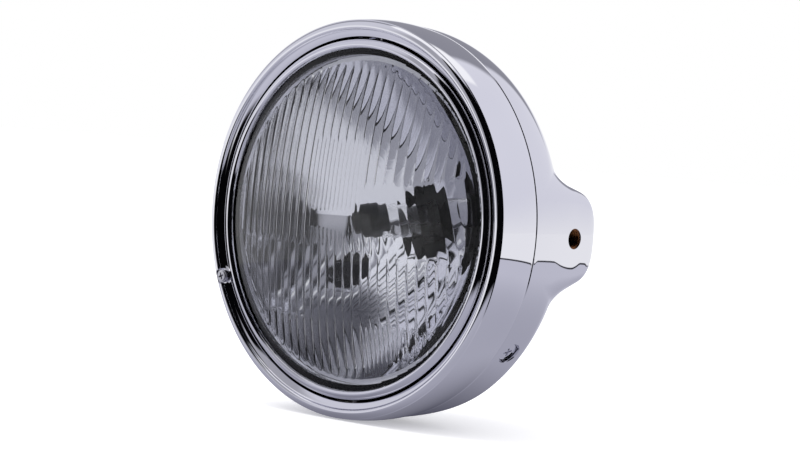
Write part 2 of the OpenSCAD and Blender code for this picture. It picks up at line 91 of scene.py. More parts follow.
class Sock:
    """A node's output that does arithmetic, so that a material reads like a formula."""

    def __init__(self, nodes: "Nodes", out: bpy.types.NodeSocket) -> None:
        """Keeps the graph and the output."""
        self.nodes = nodes
        self.out = out

    def calc(self, kind: str, other: "Value" = 0.0) -> "Sock":
        """One Math node of a kind on this output, with its second operand."""
        return self.nodes.add("ShaderNodeMath", {0: self, 1: other}, operation=kind)

    def __add__(self, other: "Value") -> "Sock":
        """Sum."""
        return self.calc("ADD", other)

    __radd__ = __add__

    def __mul__(self, other: "Value") -> "Sock":
        """Product."""
        return self.calc("MULTIPLY", other)

    __rmul__ = __mul__

    def __sub__(self, other: "Value") -> "Sock":
        """Difference."""
        return self.calc("SUBTRACT", other)

    def __rsub__(self, other: "Value") -> "Sock":
        """Difference the other way round."""
        return (self * -1.0) + other

    def __truediv__(self, other: "Value") -> "Sock":
        """Quotient."""
        return self.calc("DIVIDE", other)

    def power(self, other: "Value") -> "Sock":
        """Power."""
        return self.calc("POWER", other)

    def at_least(self, other: "Value") -> "Sock":
        """The larger of the two."""
        return self.calc("MAXIMUM", other)

    def step(self, low: float, high: float) -> "Sock":
        """A soft step from 0 at low to 1 at high.

        Args:
            low: where the step starts.
            high: where it ends.
        Returns:
            The step.
        """
        return self.nodes.add("ShaderNodeMapRange", {0: self, 1: low, 2: high, 3: 0.0, 4: 1.0},
                              interpolation_type="SMOOTHSTEP")

    def span(self, low: float, high: float) -> "Sock":
        """This value, from 0 to 1, stretched to low to high."""
        return self * (high - low) + low


Value = float | tuple | Sock


class Nodes:
    """The node graph of one material or of the world."""

    def __init__(self, tree: bpy.types.NodeTree) -> None:
        """Empties the graph and keeps it."""
        self.tree = tree
        tree.nodes.clear()

    def add(self, kind: str, inputs: Optional[dict] = None, out: int | str = 0, **settings) -> Sock:
        """Adds one node.

        Args:
            kind: the node's type.
            inputs: what goes into each input, by index or name.
            out: which output is wanted.
            **settings: the node's own settings.
        Returns:
            The output, wrapped.
        """
        node = self.tree.nodes.new(kind)
        for name, value in settings.items():
            setattr(node, name, value)
        for key, value in (inputs or {}).items():
            if isinstance(value, Sock):
                self.tree.links.new(value.out, node.inputs[key])
            else:
                node.inputs[key].default_value = value
        return Sock(self, node.outputs[out])

    def place(self) -> Sock:
        """The point on the piece, in metres."""
        return self.add("ShaderNodeTexCoord", out="Object")

    def parts(self, vector: Sock) -> tuple[Sock, Sock, Sock]:
        """The three parts of a vector."""
        first = self.add("ShaderNodeSeparateXYZ", {0: vector})
        return tuple(Sock(self, o) for o in first.out.node.outputs)

    def noise(self, scale: float, detail: float = 3.0, rough: float = 0.5) -> Sock:
        """Soft noise over the piece.

        Args:
            scale: how many blotches go into a metre.
            detail: how many finer layers it has.
            rough: how strong these are.
        Returns:
            The noise, from 0 to 1.
        """
        return self.add("ShaderNodeTexNoise", {"Vector": self.place(), "Scale": scale, "Detail": detail,
                                               "Roughness": rough}, out="Fac")

    def mix(self, share: Value, low: Value, high: Value) -> Sock:
        """A colour between two, by share.

        Args:
            share: 0 for the first and 1 for the second.
            low: the first colour.
            high: the second colour.
        Returns:
            The colour.
        """
        return self.add("ShaderNodeMix", {0: share, 6: low, 7: high}, out=2, data_type="RGBA")

    def bump(self, height: Sock, distance: float) -> Sock:
        """A bump in metres that feeds Normal."""
        inputs = {"Height": height, "Distance": distance, "Strength": 1.0}
        return self.add("ShaderNodeBump", inputs, out="Normal")

    def end(self, shader: Sock, kind: str = "ShaderNodeOutputMaterial") -> None:
        """Joins a shader to the output of the material or of the world."""
        self.tree.links.new(shader.out, self.tree.nodes.new(kind).inputs["Surface"])


def tone(red: float, green: float, blue: float) -> tuple[float, float, float, float]:
    """A colour picked on a screen, from 0 to 255, as a shader takes it.

    Args:
        red: red part.
        green: green part.
        blue: blue part.
    Returns:
        The colour with full alpha.
    """
    parts = [c / 255 / 12.92 if c < 10.3 else ((c / 255 + 0.055) / 1.055) ** 2.4 for c in (red, green, blue)]
    return (*parts, 1.0)


@dataclass(frozen=True)
class Finish:
    """A finish. Each kind says in dress() what feeds the shader."""

    name: str

    def make(self) -> bpy.types.Material:
        """Builds the material once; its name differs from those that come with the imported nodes."""
        made = bpy.data.materials.get(self.name + "_finish")
        if not made:
            made = bpy.data.materials.new(self.name + "_finish")
            made.use_nodes = True
            nodes = Nodes(made.node_tree)
            nodes.end(self.shade(nodes))
        return made

    def shade(self, n: Nodes) -> Sock:
        """The finished shader."""
        return n.add("ShaderNodeBsdfPrincipled", self.dress(n), out="BSDF")

    def dress(self, n: Nodes) -> dict:
        """What feeds the shader, by socket name."""
        raise NotImplementedError


@dataclass(frozen=True)
class Plated(Finish):
    """Plated or unplated metal with faint blotches, fine bumps and a little dulling."""

    color: tuple = (0.80, 0.80, 0.84, 1.0)
    dark: tuple = (0.72, 0.72, 0.77, 1.0)
    gloss: tuple = (0.02, 0.05)
    grain: float = 60.0
    bumps: float = 0.000002

    def dress(self, n: Nodes) -> dict:
        """What feeds the shader, by socket name."""
        broad = n.noise(self.grain * 0.3, 2.0)
        fine = n.noise(self.grain * 6.0, 4.0, 0.6)
        dull = (broad * 0.6 + fine * 0.4).step(0.3, 0.75)
        return {
            "Base Color": n.mix(broad.step(0.35, 0.7), self.color, self.dark),
            "Metallic": 1.0,
            "Roughness": dull.span(*self.gloss),
            "Normal": n.bump(n.noise(self.grain, 2.0), self.bumps),
        }


@dataclass(frozen=True)
class Silvered(Plated):
    """Mirror coat that ends at the neck of the bulb and at the socket of the parking lamp, with painted shade
    inside both.
    """

    neck: float = 18.7
    socket: tuple = (-35.95, -29.01, 8.35)

    def shade(self, n: Nodes) -> Sock:
        """The coat, and painted shade inside both openings: a dark, dull surface where the coat ends."""
        coat = n.add("ShaderNodeBsdfPrincipled", self.dress(n), out="BSDF")
        # Painted shade: a near-black, dull surface stands in for the shade inside the neck and the socket.
        painted_shade = n.add("ShaderNodeBsdfPrincipled", {
            "Base Color": n.mix(n.noise(200.0).step(0.4, 0.7), tone(20, 20, 22), tone(38, 38, 40)),
            "Roughness": n.noise(300.0).span(0.45, 0.6)}, out="BSDF")
        x, _, z = n.parts(n.place())
        sx, sz, sr = (v * Frame.MM for v in self.socket)
        inside = (x * x + z * z).calc("LESS_THAN", (self.neck * Frame.MM) ** 2)
        inside = inside.at_least(((x - sx).power(2.0) + (z - sz).power(2.0)).calc("LESS_THAN", sr * sr))
        return n.add("ShaderNodeMixShader", {0: inside, 1: coat, 2: painted_shade})


@dataclass(frozen=True)
class Moulded(Finish):
    """Rubber or nylon with a fine moulded grain."""

    color: tuple = (0.02, 0.02, 0.02, 1.0)
    worn: tuple = (0.05, 0.05, 0.05, 1.0)
    gloss: tuple = (0.45, 0.65)
    grain: float = 900.0
    depth: float = 0.00003

    def dress(self, n: Nodes) -> dict:
        """What feeds the shader, by socket name."""
        fine = n.noise(self.grain, 5.0, 0.65)
        broad = n.noise(35.0, 3.0)
        return {
            "Base Color": n.mix((broad * 0.7 + fine * 0.3).step(0.4, 0.75), self.color, self.worn),
            "Roughness": fine.step(0.3, 0.7).span(*self.gloss),
            "Normal": n.bump(fine, self.depth),
        }


@dataclass(frozen=True)
class Clear(Finish):
    """Pressed or drawn glass."""

    color: tuple = (0.985, 0.99, 0.988, 1.0)
    waves: float = 0.000004
    gloss: tuple = (0.0, 0.012)
    sheen: tuple = (0.4, 0.4, 0.4, 1.0)

    def dress(self, n: Nodes) -> dict:
        """What feeds the shader, by socket name."""
        broad = n.noise(45.0, 3.0)
        deeper = tuple(c * 0.985 for c in self.color[:3]) + (1.0,)
        return {
            "Base Color": n.mix(broad.step(0.3, 0.7), self.color, deeper),
            "Roughness": n.noise(120.0, 3.0).step(0.55, 0.8).span(*self.gloss),
            "Transmission Weight": 1.0,
            "IOR": 1.5,
            "Specular Tint": self.sheen,
            "Normal": n.bump(broad, self.waves),
        }


@dataclass(frozen=True)
class DippedGlass(Clear):
    """Bulb glass whose front end is dipped in dark heatproof paint."""

    tip_depth: float = 22.0

    def shade(self, n: Nodes) -> Sock:
        """Glass with a painted end over it."""
        glass = n.add("ShaderNodeBsdfPrincipled", self.dress(n), out="BSDF")
        paint = n.add("ShaderNodeBsdfPrincipled", {
            "Base Color": n.mix(n.noise(300.0).step(0.4, 0.7), (0.012, 0.012, 0.013, 1),
                                (0.03, 0.03, 0.032, 1)),
            "Roughness": n.noise(400.0).span(0.35, 0.55)}, out="BSDF")
        edge = (self.tip_depth - Frame.MID) * Frame.MM
        depth = n.parts(n.place())[1] + n.noise(250.0) * 0.0006
        mask = 1.0 - depth.step(edge, edge + 0.0003)
        return n.add("ShaderNodeMixShader", {0: mask, 1: glass, 2: paint})


CHROME = Plated("chrome_bowl", tone(228, 228, 233), tone(223, 223, 229), (0.012, 0.035), 22.0, 0.00008)
RIM = Plated("chrome_rim", tone(232, 232, 237), tone(226, 226, 232), (0.008, 0.028), 40.0, 0.000002)
INNER = Plated("chrome_inner_ring", tone(228, 228, 234), tone(220, 220, 227), (0.015, 0.05), 50.0, 0.000003)
# The mirror's finish also paints shade inside the bulb's neck and the parking lamp's socket.
MIRROR = Silvered("mirror_coat", tone(226, 226, 232), tone(220, 220, 228), (0.015, 0.045), 30.0, 0.000004)
ZINC = Plated("zinc_plate", tone(196, 194, 182), tone(165, 164, 156), (0.25, 0.45), 220.0, 0.00001)
STEEL = Plated("screw_steel", tone(205, 205, 210), tone(170, 170, 178), (0.12, 0.3), 260.0, 0.000006)
SPRING = Plated("spring_steel", tone(140, 140, 146), tone(105, 105, 112), (0.2, 0.4), 260.0, 0.000006)
# Painted shade: both brass tones are darkened, the second almost to black, to stand in for the shade deep in the
# threaded bore.
BRASS_PAINTED_SHADE = Plated("brass", tone(128, 82, 48), tone(44, 30, 20), (0.2, 0.42), 300.0, 0.000008)
SCREW = Plated("screw_chrome", tone(226, 226, 232), tone(216, 216, 224), (0.03, 0.09), 60.0, 0.000001)
TUNGSTEN = Plated("filament_metal", tone(110, 110, 116), tone(70, 70, 76), (0.3, 0.5), 400.0, 0.000004)
# Painted shade: the bulb's base gets a near-black colour that stands in for the shade in the bulb's opening.
BULB_BASE_PAINTED_SHADE = Moulded("bulb_base_painted_shade", tone(12, 12, 13), tone(22, 22, 24), (0.5, 0.7))
SILICONE = Plated("clear_silicone", tone(222, 222, 228), tone(206, 206, 214), (0.18, 0.34), 160.0, 0.000006)
RUBBER = Moulded("rubber", tone(30, 30, 32), tone(52, 52, 55))
NYLON = Moulded("nylon", tone(214, 210, 198), tone(196, 190, 176), (0.3, 0.5), 700.0, 0.00002)
LENS_GLASS = Clear("lens_glass", (0.975, 0.985, 0.98, 1.0))
BULB_GLASS = DippedGlass("bulb_glass", (0.99, 0.99, 0.985, 1.0))
PARK_GLASS = Clear("parking_glass", (0.985, 0.985, 0.98, 1.0))


def arc(center: Point, radius: float, start: float, end: float, step: float = 4.0) -> list[Point]:
    """Points of an arc.

    Args:
        center: radius and depth of its middle.
        radius: its radius.
        start: first angle, in degrees.
        end: last angle, in degrees.
        step: about how many degrees lie between two points.
    Returns:
        The points, both ends included.
    """
    count = max(1, round(abs(end - start) / step))
    angles = [math.radians(start + (end - start) * i / count) for i in range(count + 1)]
    return [(center[0] + radius * math.cos(a), center[1] + radius * math.sin(a)) for a in angles]


def softened(points: Sequence[tuple], step: float = 15.0) -> list[Point]:
    """An outline whose corners are rounded where a third number gives a radius.

    Args:
        points: (radius, depth) or (radius, depth, rounding).
        step: about how many degrees lie between two points of a rounding.
    Returns:
        The outline with its roundings.
    """
    made: list[Point] = []
    for i, p in enumerate(points):
        if len(p) < 3 or i in (0, len(points) - 1):
            made.append((p[0], p[1]))
            continue
        here = np.array(p[:2])
        to_last = np.array(points[i - 1][:2]) - here
        to_next = np.array(points[i + 1][:2]) - here
        to_last, to_next = to_last / np.linalg.norm(to_last), to_next / np.linalg.norm(to_next)
        half = math.acos(max(-1.0, min(1.0, float(to_last @ to_next)))) / 2
        turn = math.pi - 2 * half
        if turn < 0.03:
            made.append((p[0], p[1]))
            continue
        reach = p[2] / math.tan(half)
        middle = here + (to_last + to_next) / np.linalg.norm(to_last + to_next) * p[2] / math.sin(half)
        first, last = here + to_last * reach - middle, here + to_next * reach - middle
        count = max(2, round(math.degrees(turn) / step))
        for k in range(count + 1):
            share = k / count
            spot = first * math.sin((1 - share) * turn) + last * math.sin(share * turn)
            spot = middle + spot / math.sin(turn)
            made.append((float(spot[0]), float(spot[1])))
    return made


class Bench:
    """Modelling steps as done by hand, on the active object."""

    @staticmethod
    def clear() -> None:
        """Leaves edit mode and deselects everything."""
        if bpy.context.object and bpy.context.object.mode != "OBJECT":
            bpy.ops.object.mode_set(mode="OBJECT")
        bpy.ops.object.select_all(action="DESELECT")

    @classmethod
    def pick(cls, piece: bpy.types.Object) -> None:
        """Selects one object alone and makes it active."""
        cls.clear()
        piece.select_set(True)
        bpy.context.view_layer.objects.active = piece

    @classmethod
    def lathe(cls, name: str, outline: Sequence[Point], steps: int) -> bpy.types.Object:
        """Turns a closed outline about the lamp's axis.

        Args:
            name: the piece's name.
            outline: (radius, depth) points in order.
            steps: how many steps the turn takes.
        Returns:
            The turned piece.
        """
        cls.clear()
        bpy.ops.mesh.primitive_plane_add(size=0.001, location=(0, 0, 0))
        piece = bpy.context.object
        piece.name = piece.data.name = name
        bpy.ops.object.mode_set(mode="EDIT")
        bpy.ops.mesh.select_all(action="SELECT")
        bpy.ops.mesh.merge(type="CENTER")
        path = [Frame.point(r, y, 0) for r, y in outline]
        bpy.ops.transform.translate(value=path[0])
        for last, here in zip(path, path[1:] + path[:1]):
            bpy.ops.mesh.extrude_region_move(TRANSFORM_OT_translate={"value": here - last})
        bpy.ops.mesh.select_all(action="SELECT")
        bpy.ops.mesh.spin(steps=steps, angle=2 * math.pi, center=(0, 0, 0), axis=(0, 1, 0))
        bpy.ops.mesh.select_all(action="SELECT")
        bpy.ops.mesh.remove_doubles(threshold=2e-6)
        bpy.ops.mesh.normals_make_consistent(inside=False)
        bpy.ops.object.mode_set(mode="OBJECT")
        return piece

    @classmethod
    def rod(cls, name: str, radius: float, start: Vector, end: Vector, sides: int = 64) -> bpy.types.Object:
        """A round rod between two points, in metres with its radius in millimetres.

        Args:
            name: its name.
            radius: its radius.
            start: one end.
            end: the other end.
            sides: how many sides it has.
        Returns:
            The rod.
        """
        cls.clear()
        turn = (end - start).to_track_quat("Z", "Y").to_euler()
        bpy.ops.mesh.primitive_cylinder_add(vertices=sides, radius=radius * Frame.MM,
                                            depth=(end - start).length, location=(start + end) / 2, rotation=turn)
        piece = bpy.context.object
        piece.name = name
        bpy.ops.object.transform_apply(location=True, rotation=True, scale=True)
        return piece

    @classmethod
    def bar(cls, name: str, size: Sequence[float], at: Vector, turn: Matrix) -> bpy.types.Object:
        """A straight bar, sizes in millimetres, at a place in metres.

        Args:
            name: its name.
            size: its three lengths.
            at: its middle.
            turn: its rotation.
        Returns:
            The bar.
        """
        cls.clear()
        bpy.ops.mesh.primitive_cube_add(size=1.0, location=at, rotation=turn.to_euler())
        piece = bpy.context.object
        piece.name = name
        piece.scale = [s * Frame.MM for s in size]
        bpy.ops.object.transform_apply(location=True, rotation=True, scale=True)
        return piece

    @classmethod
    def cut(cls, piece: bpy.types.Object, tool: bpy.types.Object, kind: str = "DIFFERENCE") -> None:
        """Cuts, joins or keeps by another solid, which is used up.

        Args:
            piece: what is cut.
            tool: what cuts it.
            kind: the kind of boolean.
        """
        cls.pick(piece)
        cutter = piece.modifiers.new("cut", "BOOLEAN")
        cutter.operation, cutter.object, cutter.solver = kind, tool, "EXACT"
        bpy.ops.object.modifier_apply(modifier=cutter.name)
        bpy.data.objects.remove(tool)

    @classmethod
    def join(cls, piece: bpy.types.Object, *others: bpy.types.Object) -> None:
        """Joins other meshes into the piece."""
        cls.pick(piece)
        for other in others:
            other.select_set(True)
        bpy.ops.object.join()

    @classmethod
    def smooth(cls, piece: bpy.types.Object, angle: float = 30.0) -> None:
        """Smooth shading up to an angle in degrees."""
        cls.pick(piece)
        bpy.ops.object.shade_smooth_by_angle(angle=math.radians(angle))

    @staticmethod
    def bands(rings: int, count: int, closed: bool = True) -> list[tuple]:
        """Faces between rings of count points, back from the last ring to the first if closed."""
        return [(k * count + j, k * count + (j + 1) % count, (k + 1) % rings * count + (j + 1) % count,
                 (k + 1) % rings * count + j) for k in range(rings if closed else rings - 1) for j in range(count)]

    @classmethod
    def from_grid(cls, name: str, points: np.ndarray, faces: Sequence[Sequence[int]]) -> bpy.types.Object:
        """A mesh from points in millimetres that a formula gives, for forms that no operator makes.

        Args:
            name: its name.
            points: rows of x, depth and height.
            faces: corner indices.
        Returns:
            The piece, merged and with its faces outwards.
        """
        mesh = bpy.data.meshes.new(name)
        mesh.from_pydata(Frame.array(points).tolist(), [], faces)
        piece = bpy.data.objects.new(name, mesh)
        bpy.context.scene.collection.objects.link(piece)
        cls.pick(piece)
        bpy.ops.object.mode_set(mode="EDIT")
        bpy.ops.mesh.select_all(action="SELECT")
        bpy.ops.mesh.remove_doubles(threshold=2e-6)
        bpy.ops.mesh.normals_make_consistent(inside=False)
        bpy.ops.object.mode_set(mode="OBJECT")
        return piece


@dataclass
class Assembly:
    """A sub-assembly: it builds its pieces, dresses them and hands them over."""

    made: list = field(default_factory=list)

    def hand_over(self, piece: bpy.types.Object, finish: Finish, slot: str, body: Body, node: str) -> None:
        """Gives a piece its finish and body, and lets it stand for its CAD node.

        Args:
            piece: the finished piece.
            finish: its finish.
            slot: not used.
            body: what it rides on.
            node: the CAD node that it stands for.
        """
        piece.data.materials.clear()
        piece.data.materials.append(finish.make())
        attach(piece, body.value)
        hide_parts(node)
        self.made.append(piece.name)
        LOG.info("%s: %d faces", piece.name, len(piece.data.polygons))


@dataclass
class RimRing(Assembly):
    """The rolled trim ring with its bead, its skirt and the dish round the aiming screw."""

    seam_radius: float = 98.5
    bow: float = 1.1
    depth: float = 26.8
    wall: float = 1.4
    mouth: float = 90.6
    bead: float = 95.6
    dish: tuple = (-86.59, -36.58)
    dish_radius: float = 4.0
    dish_depth: float = 2.4
    screw_hole: float = 2.1

    def skirt(self, y: float, d: float = 0.0) -> float:
        """Radius of the skirt at a depth, d under its surface."""
        big = (self.depth ** 2 / 4 + self.bow ** 2) / (2 * self.bow)
        return self.seam_radius + self.bow - big + math.sqrt((big - d) ** 2 - (y - self.depth / 2) ** 2)

    def outline(self) -> list[Point]:
        """The ring's section, outside first."""
        y0 = 3.0 - 3.0 * math.sin(math.radians(20))
        outer = [(self.mouth, 6.0), (self.mouth, 3.3, 0.6), (92.4, 2.35, 1.5), (93.62, 1.9, 1.2)]
        outer = softened(outer + [arc((self.bead, 1.6), 1.6, 200, 210)[0]])
        outer += arc((self.bead, 1.6), 1.6, 204, 270) + arc((self.bead, 3.0), 3.0, -86, -20)[:-1]
        rows = 26
        skirt = [(self.skirt(y0 + (self.depth - y0) * i / rows), y0 + (self.depth - y0) * i / rows)
                 for i in range(rows + 1)]
        edge = self.skirt(self.depth)
        skirt = skirt[:-1] + [(edge + 0.02, self.depth - 0.35), (edge - 0.12, self.depth - 0.1),
                              (edge - 0.35, self.depth)]
        inner = [(self.skirt(y, self.wall), y) for y in (self.depth, 20.0, 13.4, 8.0, 4.4)]
        inner += arc((self.bead, 3.0), 1.6, -20, -90, 14) + [(94.2, 3.3), (92.0, 4.3), (92.0, 6.0)]
        return outer + skirt + inner

    def build(self) -> None:
        """Turns the ring, presses the dish in and drills it."""
        ring = Bench.lathe("trim_ring_chrome", self.outline(), 320)
        x, z = self.dish
        cup = Bench.rod("cup", self.dish_radius + 1.1, Frame.point(x, self.dish_depth + 0.4, z),
                        Frame.point(x, self.dish_depth + 0.4 + self.wall, z))
        Bench.cut(ring, cup, "UNION")
        Bench.cut(ring, Bench.rod("dish", self.dish_radius, Frame.point(x, -2, z),
                                  Frame.point(x, self.dish_depth, z)))
        Bench.cut(ring, Bench.rod("hole", self.screw_hole, Frame.point(x, -2, z), Frame.point(x, 8, z), 40))
        Bench.smooth(ring, 28)
        self.hand_over(ring, RIM, "chrome_ring", Body.HOUSING, "trim_ring")


@dataclass
class Bowl(Assembly):
    """The cast and chromed bowl with its two ears, screw seats and cable hole.

    Its skin is one smooth field, because chrome shows every facet and every crease: the turned
    bowl and the rounded ears are met and blended by distance, and each row and column of the
    skin is found on a ray from a point on the lamp's axis.
    """

    radius: float = 98.5
    seam: float = 26.8
    wall: float = 3.0
    lip: float = 96.93
    groove: tuple = ((97.5, 26.82), (98.1, 26.95), (98.46, 27.4))
    arcs: tuple = (((55.5, 26.8), 43.0, 0.0, 43.0), ((-147.08, -162.11), 320.0, 43.0, 55.0),
                   ((19.25, 75.44), 30.0, 55.0, 90.0))
    ear_half: float = 24.0
    ear_back: float = 78.8
    ear_corner: float = 18.0
    ear_round: float = 12.0
    ear_edge: float = 7.0
    ear_blend: float = 11.0
    full_all: float = 0.7
    full_low: float = 3.2
    full_side: float = 60.0
    full_down: float = 30.0
    full_start: float = 20.0
    full_end: float = 70.0
    shoulder: float = 2.0
    mount_depth: float = 56.3
    cable_hole: float = 9.5
    mount_hole: float = 5.05
    insert_hole: float = 7.5
    insert_end: float = 97.1
    screw_depth: float = 36.0
    screw_angles: tuple = (-36.0, 216.0)
    screw_hole: float = 2.8
    seat_radius: float = 6.0
    seat_floor: float = 95.68
    eye: float = 35.0
    halvings: int = 34
    touching: float = 0.004
    columns: int = 400
    row_step: float = 0.85

    def bowl_distance(self, r: np.ndarray, y: np.ndarray) -> np.ndarray:
        """Distance from the turned bowl, negative inside.

        Args:
            r: distances from the lamp's axis.
            y: depths.
        Returns:
            The distances.
        """
        (c1, r1, _, a1), (c2, r2, _, a2), (c3, r3, _, _) = self.arcs
        first = np.degrees(np.arctan2(y - c1[1], r - c1[0]))
        second = np.degrees(np.arctan2(y - c2[1], r - c2[0]))
        d = np.where(first <= a1, np.hypot(r - c1[0], y - c1[1]) - r1,
                     np.where(second <= a2, np.hypot(r - c2[0], y - c2[1]) - r2,
                              np.where(r < c3[0], y - c3[1] - r3, np.hypot(r - c3[0], y - c3[1]) - r3)))
        return np.where(y < self.seam, r - self.radius, d)

    @staticmethod
    def soft(t: np.ndarray) -> np.ndarray:
        """A soft step from 0 to 1 over the same range of t."""
        t = np.clip(t, 0, 1)
        return t * t * (3 - 2 * t)

    @staticmethod
    def rounded_box(u: np.ndarray, v: np.ndarray, half: float, end: float, corner: float) -> np.ndarray:
        """Distance from a strip that ends in two rounded corners, negative inside."""
        qu, qv = u - (half - corner), v - (end - corner)
        return np.hypot(np.maximum(qu, 0), np.maximum(qv, 0)) + np.minimum(np.maximum(qu, qv), 0) - corner

    @staticmethod
    def meet(a: np.ndarray, b: np.ndarray, k: float) -> np.ndarray:
        """What both fields hold, with its edge rounded by k."""
        return np.minimum(-k, np.maximum(a, b)) + np.hypot(np.maximum(a + k, 0), np.maximum(b + k, 0))

    @staticmethod
    def blend(a: np.ndarray, b: np.ndarray, k: np.ndarray) -> np.ndarray:
        """What either field holds, with its inner edge filled by k."""
        return np.maximum(k, np.minimum(a, b)) - np.hypot(np.maximum(k - a, 0), np.maximum(k - b, 0))

    def distance(self, p: np.ndarray) -> np.ndarray:
        """Distance from the outer skin, negative inside.

        Args:
            p: rows of x, depth and height.
        Returns:
            The distances.
        """
        r, y, z = np.hypot(p[:, 0], p[:, 2]), p[:, 1], np.abs(p[:, 2])
        low = self.soft(np.abs(p[:, 0]) / self.full_side) * self.soft(-p[:, 2] / self.full_down)
        full = (self.full_all + self.full_low * low) * self.soft((y - self.seam) / self.full_start)
        bowl = self.bowl_distance(r, y) - full * (1 - self.soft((y - self.full_end) / self.full_down))
        drum = self.rounded_box(r, y, self.radius, self.ear_back, self.ear_round)
        side = self.rounded_box(z, y, self.ear_half, self.ear_back, self.ear_corner)
        ear = self.meet(drum, side, self.ear_edge)
        rise = self.soft((y - self.seam - 1.0) / self.full_down)
        round_off = self.shoulder * rise
        both = self.blend(bowl, ear, self.ear_blend * rise)
        return self.meet(both, r - self.radius - 0.3 * round_off, round_off)

    def normals(self, p: np.ndarray) -> np.ndarray:
        """Outward directions of the skin at points on it."""
        steps = 0.02 * np.eye(3)
        grad = np.stack([self.distance(p + step) - self.distance(p - step) for step in steps], 1)
        return grad / np.linalg.norm(grad, axis=1, keepdims=True)

    def profile(self, d: float, step: float) -> list[Point]:
        """The bowl's section d under its surface, from the seam to the cable hole."""
        made: list[Point] = []
        for c, r, a0, a1 in self.arcs:
            made += arc(c, r - d, a0, a1, math.degrees(step / r))[:-1]
        flat = np.linspace(self.arcs[2][0][0], self.cable_hole, max(2, round(10 / step)))
        return made + [(float(r), self.arcs[2][0][1] + self.arcs[2][1] - d) for r in flat]

    def angles(self) -> np.ndarray:
        """Directions of the columns, closer together at the flanks of the ears."""
        fine = np.linspace(0, 2 * math.pi, 7201)
        off = np.abs(np.degrees(np.arcsin(np.sin(fine))))
        weight = 1.0 + 1.8 * np.exp(-((off - 14) / 9) ** 2)
        total = np.concatenate([[0], np.cumsum((weight[1:] + weight[:-1]) / 2)])
        return np.interp(np.arange(self.columns) / self.columns * total[-1], total, fine)

    def skin(self) -> np.ndarray:
        """Rows and columns of points on the outer skin, from the seam to the cable hole."""
        line = np.array([*self.groove, *self.profile(0.0, self.row_step)[1:]])
        fixed = len(self.groove)
        turn = self.angles()
        ray = np.stack([line[:, None, 0] * np.cos(turn), np.repeat(line[:, 1:] - self.eye, len(turn), 1),
                        line[:, None, 0] * np.sin(turn)], 2).reshape(-1, 3)
        low, high = np.full(len(ray), 0.6), np.full(len(ray), 1.6)
        start = np.array([0.0, self.eye, 0.0])
        for _ in range(self.halvings):
            half = (low + high) / 2
            inside = self.distance(start + ray * half[:, None]) < 0
            low, high = np.where(inside, half, low), np.where(inside, high, half)
        found = (start + ray * low[:, None]).reshape(len(line), len(turn), 3)
        found[:fixed] = (start + ray).reshape(len(line), len(turn), 3)[:fixed]
        return found

    def inner(self) -> list[Point]:
        """The inner section, from the cable hole to the seam's lip."""
        lip, land = self.lip, self.seam - 0.5
        back = self.profile(self.wall, 4.0)[::-1]
        back = [(self.cable_hole, self.arcs[2][0][1] + self.arcs[2][1] - self.wall)] + back[1:]
        return back + [(self.radius - self.wall, land), (lip - 2.5, land), (lip - 2.5, land - 1.5),
                       (lip, land - 1.5), (lip, self.seam)]

    def build(self) -> None:
        """Makes the skin, closes it with the inner wall, and drills seats and holes."""
        skin, turn = self.skin(), self.angles()
        rows = list(skin)
        for r, y in self.inner():
            rows.append(np.stack([r * np.cos(turn), np.full(len(turn), y), r * np.sin(turn)], 1))
        rows.append(rows[0])
        faces = Bench.bands(len(rows), len(turn), closed=False)
        bowl = Bench.from_grid("bowl_chrome", np.concatenate(rows), faces)
        for side in (1, -1):
            for radius, end in ((self.mount_hole, 104), (self.insert_hole, self.insert_end)):
                Bench.cut(bowl, Bench.rod("drill", radius, Frame.point(side * 70, self.mount_depth, 0),
                                          Frame.point(side * end, self.mount_depth, 0), 72))
        for angle in self.screw_angles:
            for radius, start in ((self.seat_radius, self.seat_floor + 0.02), (self.screw_hole, 80)):
                Bench.cut(bowl, Bench.rod("seat", radius, Frame.spoke(start, angle, self.screw_depth),
                                          Frame.spoke(110, angle, self.screw_depth), 72))
            Bench.join(bowl, self.seat(angle))
        self.polish(bowl)
        self.hand_over(bowl, CHROME, "chrome_shell", Body.HOUSING, "shell")

    def seat(self, angle: float) -> bpy.types.Object:
        """The floor of a screw's seat, under the wall where the recess breaks through it."""
        disc = Bench.rod("seat_floor", self.seat_radius + 0.9, Frame.spoke(92.5, angle, self.screw_depth),
                         Frame.spoke(self.seat_floor, angle, self.screw_depth), 72)
        Bench.cut(disc, Bench.rod("drill", self.screw_hole, Frame.spoke(80, angle, self.screw_depth),
                                  Frame.spoke(110, angle, self.screw_depth), 72))
        return disc

    def polish(self, bowl: bpy.types.Object) -> None:
        """Shades the skin by the field's own directions, so that reflections run clean."""
        Bench.smooth(bowl, 30)
        mesh = bowl.data
        points = np.empty(len(mesh.vertices) * 3)
        mesh.vertices.foreach_get("co", points)
        points = Frame.back(points.reshape(-1, 3))
        past_groove = points[:, 1] > self.groove[-1][1] + 0.05
        on_skin = (np.abs(self.distance(points)) < self.touching) & past_groove
        way = np.zeros_like(points)
        way[on_skin] = self.normals(points[on_skin])
        corner = np.empty(len(mesh.loops), np.int32)
        mesh.loops.foreach_get("vertex_index", corner)
        face_normal = np.empty(len(mesh.polygons) * 3)
        mesh.polygons.foreach_get("normal", face_normal)
        sizes = np.empty(len(mesh.polygons), np.int32)
        mesh.polygons.foreach_get("loop_total", sizes)
        flat = np.repeat(face_normal.reshape(-1, 3), sizes, 0)
        normal = way[corner]
        normal[np.sum(normal * flat, 1) < 0.8] = 0
        mesh.normals_split_custom_set(normal.tolist())


